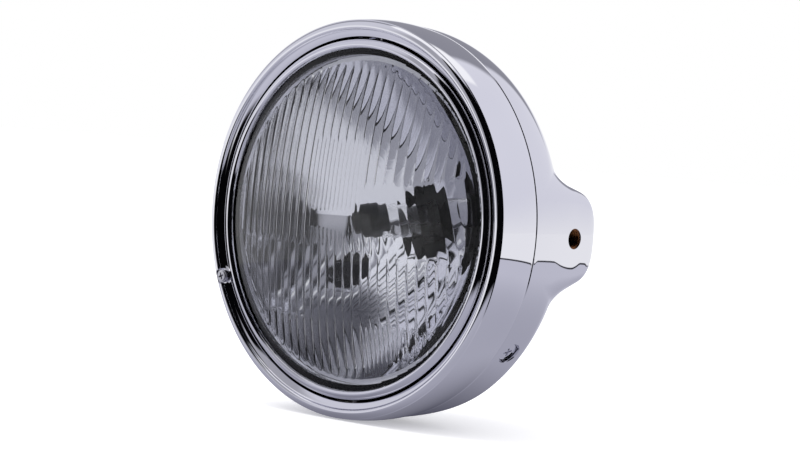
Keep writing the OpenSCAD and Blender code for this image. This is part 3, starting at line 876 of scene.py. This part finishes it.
@dataclass
class ShellScrews(Assembly):
    """The two cross-head screws that sit almost flush in the bowl's flanks."""

    depth: float = 36.0
    places: tuple = ((-36.0, "shell_screw_right"), (216.0, "shell_screw_left"))
    head: float = 5.2
    under: float = 95.75
    top: float = 97.35
    shank: float = 2.45
    tip: float = 86.0
    slot: tuple = (5.2, 1.15, 1.8)
    slot_angles: tuple = (20, 110)
    rounding: float = 0.6

    def build(self) -> None:
        """Makes each screw from its shank and head, and cuts the cross."""
        for angle, node in self.places:
            tip, inside, under, top = (Frame.spoke(r, angle, self.depth) for r in
                                       (self.tip, self.under + 0.2, self.under, self.top))
            screw = Bench.rod(node + "_head", self.head, under, top, 72)
            edge = screw.modifiers.new("edge", "BEVEL")
            edge.width, edge.segments, edge.limit_method = self.rounding * Frame.MM, 4, "ANGLE"
            Bench.pick(screw)
            bpy.ops.object.modifier_apply(modifier=edge.name)
            turn = (top - tip).to_track_quat("Z", "Y").to_matrix()
            for step in self.slot_angles:
                bar = turn @ Matrix.Rotation(math.radians(step), 3, "Z")
                Bench.cut(screw, Bench.bar("cross", self.slot, top, bar))
            Bench.join(screw, Bench.rod("shank", self.shank, tip, inside, 48))
            Bench.smooth(screw, 35)
            self.hand_over(screw, SCREW, "screw_steel", Body.HOUSING, node)


@dataclass
class Lens(Assembly):
    """The pressed front glass: a smooth dome outside and a fluted field inside.

    The flutes are a height field over the back of the dome, zone by zone. Its columns fall on
    the flutes' ridges, so the ridges stay sharp.
    """

    edge: float = 87.2
    lip: float = 84.4
    dome: float = 270.58
    center: float = 260.08
    thick: float = 4.0
    field_radius: float = 78.7
    pitch: float = 5.5
    rise: float = 0.5
    block_top: float = 39.6
    window_top: float = 5.5
    window_foot: float = -6.5
    under_foot: float = -12.5
    slant_foot: float = -16.5
    low_foot: float = -50.5
    ledge: tuple = (14.6, 3.4, 0.167)
    slant: float = 0.30
    run_out: float = 7.0
    flat: float = 8.0
    flat_width: float = 2.5
    per_flute: int = 12
    rows: int = 170
    front_rows: int = 40
    closer: float = 0.86

    def front(self, r: np.ndarray) -> np.ndarray:
        """Depth of the outer dome, with the flat flange at its edge."""
        dome = self.center - np.sqrt(self.dome ** 2 - np.minimum(r, self.lip) ** 2)
        return np.where(r > self.lip, 3.2, dome)

    @staticmethod
    def across(x: np.ndarray, pitch: float) -> np.ndarray:
        """Where x lies on its flute: 0 at the middle and 1 at both grooves."""
        return 2 * np.abs(x / pitch - np.floor(x / pitch) - 0.5)

    @classmethod
    def flute(cls, x: np.ndarray, pitch: float, rise: float) -> np.ndarray:
        """Height of rounded flutes side by side.

        Args:
            x: places across the flutes.
            pitch: width of one.
            rise: its height.
        Returns:
            The heights.
        """
        return rise * (1 - cls.across(x, pitch) ** 2)

    @classmethod
    def facet(cls, x: np.ndarray, pitch: float, rise: float) -> np.ndarray:
        """Height of almost flat facets between narrow grooves; it takes what flute() takes."""
        u = cls.across(x, pitch)
        return rise * (1 - u ** 12 - 0.12 * u ** 2)

    def height(self, x: np.ndarray, z: np.ndarray) -> np.ndarray:
        """Height of the pressed pattern over the back of the dome.

        Args:
            x: places to the right.
            z: places upwards.
        Returns:
            The heights.
        """
        p, rise = self.pitch, self.rise
        right = x > p
        ledge = self.ledge[0] + (x - self.ledge[1]) * self.ledge[2]
        narrow = self.flute(x, p / 2, rise * 0.42)
        block = (x > -4 * p) & (x < 2.5 * p) & (z < self.block_top) & (z > self.window_top)
        window = (x > -3.5 * p) & (x < 1.5 * p) & (z <= self.window_top) & (z > self.window_foot)
        zones = (
            ((z <= self.low_foot) & (x > 3 * p) & (x < 7.5 * p), self.flute(x, p / 2, rise * 0.5)),
            (z <= self.low_foot, self.flute(x, p, rise * 1.2)),
            (z <= np.where(right, self.slant_foot, self.under_foot), self.facet(x, p, rise * 0.4)),
            (right & (z <= ledge) & ~window & ~block, self.flute(x + (z - ledge) * self.slant, p, rise * 0.3)),
            ((x > -3.5 * p) & (x < p) & (z <= self.window_foot), narrow),
            (window, np.zeros_like(x)),
            (block, narrow))
        h = np.select([where for where, _ in zones], [height for _, height in zones], self.flute(x, p, rise))
        reach = np.maximum(np.hypot(x, z) - (self.field_radius - self.run_out), 0) / self.run_out
        return np.maximum(h - rise * 1.25 * reach ** 2, 0) + 0.02 * (reach < 1)

    def build(self) -> None:
        """Makes the front, the fluted back and the ground edge as one closed glass."""
        step = self.pitch / self.per_flute
        count = int(self.edge / step)
        x = np.arange(-count, count + 1) * step
        x = np.concatenate([[-self.edge], x, [self.edge]])
        reach = np.sqrt(np.maximum(self.edge ** 2 - x ** 2, 0))
        lean = math.pi / 2 * self.closer
        t = np.sin(np.linspace(-1, 1, self.rows + 1) * lean) / math.sin(lean)
        bx, bz = np.meshgrid(x, t)
        bz = bz * reach
        r = np.hypot(bx, bz)
        back = self.front(np.minimum(r, self.lip)) + self.thick + self.height(bx, bz)
        back = np.where(r > self.lip - self.flat_width, self.flat, np.minimum(back, self.flat))
        tf = np.linspace(-1, 1, self.front_rows + 1)
        fx, fz = np.meshgrid(x, tf)
        fz = fz * reach
        front = self.front(np.hypot(fx, fz))
        points = np.concatenate([np.stack(side, 2).reshape(-1, 3) for side in ((bx, back, bz), (fx, front, fz))])
        n = len(x)
        shift = len(t) * n
        faces = [(i * n + j, i * n + j + 1, (i + 1) * n + j + 1, (i + 1) * n + j)
                 for i in range(len(t) - 1) for j in range(n - 1)]
        faces += [(k + j + 1, k + j, k + n + j, k + n + j + 1)
                  for k in range(shift, shift + (len(tf) - 1) * n, n) for j in range(n - 1)]
        last_b, last_f = (len(t) - 1) * n, shift + (len(tf) - 1) * n
        for j in range(n - 1):
            faces.append((j, shift + j, shift + j + 1, j + 1))
            faces.append((last_b + j + 1, last_f + j + 1, last_f + j, last_b + j))
        glass = Bench.from_grid("lens_fluted", points, faces)
        Bench.smooth(glass, 24)
        self.hand_over(glass, LENS_GLASS, "lens_glass", Body.LIGHT, "lens")


@dataclass
class LightUnit(Assembly):
    """The ring that holds the glass, and the mirror behind it."""

    focal: float = 30.0
    vertex: float = 60.852
    mouth: float = 78.5
    flange: float = 87.2
    seat: float = 9.5
    wall: float = 1.2
    neck: float = 18.5
    neck_wall: float = 1.5
    neck_end: float = 64.0
    park: tuple = (-35.95, -29.01)
    park_radius: float = 8.0
    park_wall: float = 1.5
    park_seat: float = 51.06
    ring: tuple = ((84.5, 3.1), (84.7, 2.4, 0.6), (85.3, 1.4, 0.8), (86.2, 0.9, 0.7), (87.0, 1.0, 0.7),
                   (88.2, 1.8, 1.2), (89.1, 2.7, 0.8), (89.5, 3.8, 0.8), (89.5, 13.3), (86.2, 13.3),
                   (86.2, 12.2), (88.0, 12.2), (88.0, 3.2), (84.5, 3.2))
    steps: int = 288

    def depth(self, r: float, behind: float = 0.0) -> float:
        """Depth of the mirror at a radius, measured square to it."""
        return self.vertex - r * r / (4 * self.focal) + behind * math.sqrt(1 + (r / (2 * self.focal)) ** 2)

    def retaining_ring(self) -> None:
        """Turns the ring whose lip frames the glass."""
        ring = Bench.lathe("retaining_ring_chrome", softened(self.ring, 8.0), self.steps)
        Bench.smooth(ring, 30)
        self.hand_over(ring, INNER, "chrome_inner_ring", Body.LIGHT, "retaining_ring")

    def mirror(self) -> None:
        """Turns the mirror and adds the socket of the parking lamp."""
        rows = 90
        inside = [self.neck + (self.mouth - self.neck) * i / rows for i in range(rows + 1)]
        outline = [(self.neck, self.neck_end), (self.neck, self.depth(self.neck) + 0.5)]
        outline += [(r, self.depth(r)) for r in inside]
        outline += [(self.mouth + 0.7, self.seat), (self.flange, self.seat),
                    (self.flange, self.seat + self.wall), (self.mouth + 1.1, self.seat + self.wall)]
        outline += [(r, self.depth(r, self.wall)) for r in inside[::-10][:-1]]
        outline += [(self.neck + self.neck_wall, self.depth(self.neck + self.neck_wall, self.wall)),
                    (self.neck + self.neck_wall, self.neck_end)]
        mirror = Bench.lathe("mirror", outline, self.steps)
        x, z = self.park
        ends = (Frame.point(x, 10, z), Frame.point(x, 70, z))
        Bench.cut(mirror, Bench.rod("hole", self.park_radius, *ends, 72))
        Bench.join(mirror, self.socket())
        Bench.smooth(mirror, 35)
        self.hand_over(mirror, MIRROR, "mirror_coat", Body.LIGHT, "reflector")

    def socket(self) -> bpy.types.Object:
        """A short tube whose front end follows the mirror."""
        x, z = self.park
        sides = 72
        turn = np.linspace(0, 2 * math.pi, sides + 1)[:-1]
        inner, outer = self.park_radius, self.park_radius + self.park_wall
        rings = []
        for radius, end in ((inner, 0), (inner, 1), (outer, 1), (outer, 0)):
            px, pz = x + radius * np.cos(turn), z + radius * np.sin(turn)
            y = np.array([self.depth(math.hypot(a, b), self.wall * 0.5) for a, b in zip(px, pz)])
            rings.append(np.stack([px, np.full(sides, self.park_seat) if end else y, pz], 1))
        return Bench.from_grid("park_socket", np.concatenate(rings), Bench.bands(len(rings), sides))

    def build(self) -> None:
        """Builds the ring and the mirror."""
        self.retaining_ring()
        self.mirror()


@dataclass
class MountInsert(Assembly):
    """A brass insert with its thread cut in."""

    outer: float = 7.5
    inner: float = 4.25
    thread: float = 0.75
    pitch: float = 1.5
    start: float = 84.1
    end: float = 97.1
    depth: float = 56.3
    crest: float = 0.06
    flank: float = 0.38
    turns: int = 96
    rows: int = 104

    def ring(self, at: float, radius: float | np.ndarray) -> np.ndarray:
        """Points round the bore at a place along it."""
        turn = np.arange(self.turns) / self.turns * 2 * math.pi
        return np.stack([np.full(self.turns, at), self.depth + radius * np.cos(turn), radius * np.sin(turn)], 1)

    def bore(self, at: float) -> np.ndarray:
        """Radii of the thread round the bore at a place along it."""
        u = (at / self.pitch - np.arange(self.turns) / self.turns) % 1.0
        return self.inner + self.thread * np.clip((np.abs(u - 0.5) - self.crest) / self.flank, 0, 1)

    def build(self) -> None:
        """Makes one insert with a true thread in its bore, and its mirrored place."""
        edge, end, start = self.outer - 0.5, self.end, self.start
        for side, name in ((1, "right"), (-1, "left")):
            rings = [self.ring(at, self.bore(at)) for at in np.linspace(start, end, self.rows)]
            rings += [self.ring(end, edge), self.ring(end - 0.5, self.outer), self.ring(start, self.outer)]
            points = np.concatenate(rings)
            points[:, 0] *= side
            piece = Bench.from_grid("insert_" + name, points, Bench.bands(len(rings), self.turns))
            Bench.smooth(piece, 40)
            # The brass finish carries painted shade for the bore.
            self.hand_over(piece, BRASS_PAINTED_SHADE, "brass", Body.HOUSING, "mount_insert_" + name)


@dataclass
class KeptNodes(Assembly):
    """The CAD nodes whose shape is right, with their finishes."""

    finishes: dict = field(default_factory=lambda: {
        "mount_ring": ZINC, "rim_bracket_left": ZINC, "rim_bracket_right": ZINC, "rim_nut_left": STEEL,
        "rim_nut_right": STEEL, "hinge_pin_top": STEEL,
        "hinge_pin_bottom": STEEL, "cable_grommet": RUBBER, "aim_spring": SPRING, "aim_screw": STEEL,
        "aim_clip": SPRING, "aim_nut": NYLON, "lens_seal": SILICONE, "unit_carrier": ZINC, "bulb_base": BULB_BASE_PAINTED_SHADE,
        "bulb_glass": BULB_GLASS, "bulb_filaments": TUNGSTEN, "bulb_clip": SPRING, "bulb_boot": RUBBER,
        "parking_bulb": PARK_GLASS, "parking_holder": RUBBER})

    def build(self) -> None:
        """Gives each node its finish."""
        for name, finish in self.finishes.items():
            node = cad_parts[name]
            node.data.materials.clear()
            node.data.materials.append(finish.make())
            LOG.info("%s keeps its CAD shape", name)


@dataclass
class Studio:
    """Camera, floor, lamps and what the chrome sees round it."""

    azimuth: float = 42.254
    elevation: float = 2.512
    roll: float = 4.443
    distance: float = 1500.0
    aim: tuple = (25.446, -2.813)
    focal: float = 3038.7
    floor: float = -99.6

    def camera(self) -> None:
        """Sets the camera at the photograph's angle."""
        a, e, t = (math.radians(v) for v in (self.azimuth, self.elevation, self.roll))
        b = Vector((math.sin(a) * math.cos(e), -math.cos(a) * math.cos(e), math.sin(e)))
        r0 = Vector((math.cos(a), math.sin(a), 0))
        u0 = b.cross(r0)
        r = r0 * math.cos(t) + u0 * math.sin(t)
        u = u0 * math.cos(t) - r0 * math.sin(t)
        at = b * self.distance + r * self.aim[0] + u * self.aim[1]
        data = bpy.data.cameras.new("camera")
        data.sensor_width = 36.0
        data.lens = 36.0 * self.focal / 800
        data.clip_start, data.clip_end = 0.05, 60
        camera = bpy.data.objects.new("camera", data)
        bpy.context.scene.collection.objects.link(camera)
        matrix = Matrix((r, u, b)).transposed().to_4x4()
        matrix.translation = Frame.point(*at)
        camera.matrix_world = matrix
        bpy.context.scene.camera = camera

    def surroundings(self) -> None:
        """A white room for the camera, and soft boxes and dark cloths for what glosses."""
        world = bpy.data.worlds.new("studio")
        bpy.context.scene.world = world
        world.use_nodes = True
        n = Nodes(world.node_tree)
        x, y, z = n.parts(n.add("ShaderNodeTexCoord", out="Generated"))
        height = z.calc("ARCSINE") * (180 / math.pi)
        level = (x * x + y * y).at_least(1e-6).calc("SQRT")

        def panel(azimuth: float, width: float, low: float, high: float, soft: float) -> Sock:
            """A soft-edged panel round the lamp, by azimuth, half width and heights in degrees."""
            inside = 1.0 - self.aside(x, y, level, azimuth).step(width - soft, width + soft)
            inside = inside * height.step(low - soft, low + soft)
            return inside * (1.0 - height.step(high - soft, high + soft))

        chrome: Value = n.mix(height.step(-8.0, 14.0), tone(253, 253, 255), tone(232, 232, 242))
        for (azimuth, width, low, high, soft), color in (
                ((-126, 37, 10, 62, 3), tone(150, 150, 160)),
                ((-66, 26, 10, 60, 5), tone(216, 216, 226)),
                ((-26, 14, -90, 60, 6), tone(172, 172, 180)),
                ((106, 12, -90, 90, 8), tone(176, 176, 186)),
                ((42, 55, -90, 73, 3), tone(5, 5, 7))):
            chrome = n.mix(panel(azimuth, width, low, high, soft), chrome, color)
        across, along = x / z.at_least(0.02), y / z.at_least(0.02)
        box = across.step(-0.66, -0.58) * (1.0 - across.step(0.05, 0.13)) * height.step(30.0, 31.0)
        box = box * along.step(-0.42, -0.34) * (1.0 - along.step(0.90, 0.98))
        chrome = n.mix(box, chrome, (1.1, 1.1, 1.12, 1))
        glass: Value = n.mix(height.step(44.0, 58.0), tone(176, 176, 184), tone(88, 88, 96))
        for (azimuth, width, low, high, soft), color in (
                ((22, 18, 8, 50, 5), tone(150, 150, 158)),
                ((-22, 26, 10, 48, 4), tone(246, 246, 252)),
                ((14, 2.0, -20, 60, 1), tone(255, 255, 255)),
                ((25, 2.0, -20, 62, 1), tone(14, 14, 16)),
                ((-4, 1.6, 2, 60, 1), tone(12, 12, 14)),
                ((-20, 1.8, -14, 60, 1), tone(12, 12, 14)),
                ((-38, 2.0, -14, 60, 1), tone(12, 12, 14)),
                ((-50, 2.5, -20, 50, 1), tone(255, 255, 255)),
                ((72, 32, -90, 72, 4), tone(7, 7, 9))):
            glass = n.mix(panel(azimuth, width, low, high, soft), glass, color)
        camera, mirrored, through = self.rays(n)
        color = n.mix(mirrored, (0.92, 0.92, 0.94, 1), n.mix(through, chrome, glass))
        n.end(n.add("ShaderNodeBackground", {"Color": n.mix(camera, color, (1, 1, 1, 1)), "Strength": 1.0}),
              "ShaderNodeOutputWorld")

    @staticmethod
    def aside(x: Sock, y: Sock, level: Sock, azimuth: float) -> Sock:
        """How many degrees a direction lies to either side of an azimuth."""
        a = math.radians(azimuth)
        return ((x * math.sin(a) - y * math.cos(a)) / level).calc("ARCCOSINE") * (180 / math.pi)

    @staticmethod
    def rays(n: Nodes) -> tuple[Sock, Sock, Sock]:
        """Whether it is seen straight, mirrored or through glass, and through glass alone."""
        camera = n.add("ShaderNodeLightPath", out="Is Camera Ray")
        ways = camera.out.node.outputs
        through = Sock(n, ways["Is Transmission Ray"])
        return camera, Sock(n, ways["Is Glossy Ray"]).at_least(through), through

    def ground(self) -> None:
        """A pale floor that keeps the shadow, with the tones that the chrome sees when it looks down; for mirrored
        rays it glows with these tones, which hold a painted shadow under the lamp and a painted shaded line far
        behind.
        """
        Bench.clear()
        bpy.ops.mesh.primitive_circle_add(vertices=96, radius=6.0, fill_type="NGON",
                                          location=(0, 0, self.floor * Frame.MM))
        floor = bpy.context.object
        floor.name = "floor"
        bpy.ops.object.transform_apply(location=True, rotation=True, scale=True)
        made = bpy.data.materials.new("floor_paper")
        made.use_nodes = True
        n = Nodes(made.node_tree)
        x, y, _ = n.parts(n.place())
        away = (x * x + y * y).at_least(1e-6).calc("SQRT")
        # Painted shadow: the tones that the chrome sees darken towards the spot under the lamp.
        chrome = n.mix(away.step(0.01, 0.095), tone(80, 80, 94), tone(176, 176, 190))
        chrome = n.mix(away.step(0.10, 0.34), chrome, tone(206, 206, 219))
        behind = 1.0 - self.aside(x, y, away, 180).step(88.0, 94.0)
        # Painted shade: a dark line far behind stands in for the floor's far edge lying in shadow.
        line = away.step(0.478, 0.490) * (1.0 - away.step(0.505, 0.517)) * behind
        chrome = n.mix(away.step(0.50, 0.52), chrome, tone(252, 252, 255))
        chrome = n.mix(line, chrome, tone(56, 56, 62))
        front = (1.0 - self.aside(x, y, away, 41).step(50.0, 58.0)) * away.step(0.20, 0.28)
        chrome = n.mix(front, chrome, tone(5, 5, 7))
        glass = n.mix(self.aside(x, y, away, 8).step(24.0, 40.0), tone(226, 226, 234), tone(164, 164, 174))
        cloth = (1.0 - self.aside(x, y, away, 72).step(27.0, 33.0)) * away.step(0.17, 0.21)
        glass = n.mix(cloth, glass, tone(7, 7, 9))
        _, mirrored, through = self.rays(n)
        seen = n.mix(through, chrome, glass)
        paper = n.add("ShaderNodeBsdfDiffuse", {"Color": (0.98, 0.98, 0.98, 1)})
        lift = n.add("ShaderNodeEmission", {"Color": (1, 1, 1, 1), "Strength": 0.34})
        paper = n.add("ShaderNodeAddShader", {0: paper, 1: lift})
        glow = n.add("ShaderNodeEmission", {"Color": seen, "Strength": 1.0})
        n.end(n.add("ShaderNodeMixShader", {0: mirrored, 1: paper, 2: glow}))
        floor.data.materials.append(made)

    def lamps(self) -> None:
        """One large soft box above, which the chrome doesn't see."""
        data = bpy.data.lights.new("soft_box", "AREA")
        data.shape, data.size, data.size_y, data.energy = "RECTANGLE", 1.6, 1.6, 14.0
        lamp = bpy.data.objects.new("soft_box", data)
        lamp.location = (-0.6, -0.5, 1.8)
        lamp.rotation_euler = (-Vector(lamp.location)).to_track_quat("-Z", "Y").to_euler()
        lamp.visible_glossy = lamp.visible_transmission = False
        bpy.context.scene.collection.objects.link(lamp)

    def build(self) -> None:
        """Sets the studio up."""
        self.camera()
        self.surroundings()
        self.ground()
        self.lamps()
        bpy.context.scene.view_settings.view_transform = "Standard"


def main() -> None:
    """Builds every sub-assembly."""
    Studio().build()
    for assembly in (RimRing(), LightUnit(), Lens(), Bowl(), ShellScrews(), MountInsert(), KeptNodes()):
        assembly.build()
        LOG.info("%s: %s", type(assembly).__name__, ", ".join(assembly.made) or "finishes only")
    Bench.clear()


if __name__ == "__main__":
    main()
